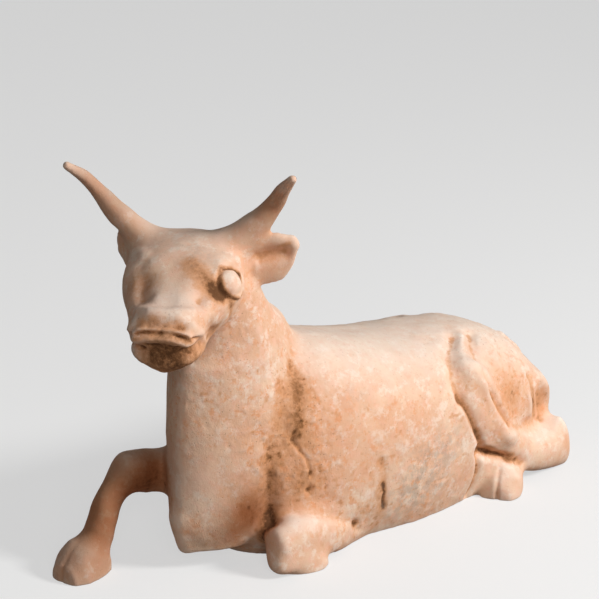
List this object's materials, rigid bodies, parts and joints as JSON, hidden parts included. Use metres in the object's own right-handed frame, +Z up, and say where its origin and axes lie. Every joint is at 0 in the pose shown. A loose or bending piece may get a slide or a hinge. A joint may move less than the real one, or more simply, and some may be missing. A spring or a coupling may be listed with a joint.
{
  "type": "recumbent ox sculpture",
  "caption": "Recumbent ox figure in unglazed fired clay, hollow and open underneath, with a raised and turned head, swept-up horns, a reaching foreleg and folded hind legs.",
  "frame": {"origin": "on the ground, under the middle of the whole ox's bounding box", "axes": "+X forwards along the body, +Y to the ox's left, +Z up"},
  "size_m": [0.3788, 0.145, 0.2502],
  "materials": {
    "buff_clay": "unglazed, rough, with soil in the pits",
    "pale_clay": "unglazed, slightly smoother and paler"
  },
  "bodies": {
    "root": {"torso_left": "buff_clay", "torso_right": "buff_clay", "neck": "buff_clay", "skull": "buff_clay", "jaw": "buff_clay", "left_horn": "pale_clay", "right_horn": "pale_clay", "left_eye": "buff_clay", "right_eye": "buff_clay", "left_eyelid": "buff_clay", "right_eyelid": "buff_clay", "left_ear": "pale_clay", "right_ear_stub": "buff_clay", "right_fore_upper": "buff_clay", "right_fore_shank": "buff_clay", "right_fore_hoof": "buff_clay", "left_fore_upper": "buff_clay", "left_fore_shank": "buff_clay", "left_fore_hoof": "buff_clay", "left_hind_upper": "buff_clay", "left_hind_shank": "buff_clay", "left_hind_hoof": "buff_clay", "right_hind_upper": "buff_clay", "right_hind_shank": "buff_clay", "right_hind_hoof": "buff_clay", "tail": "buff_clay"}
  },
  "joints": []
}
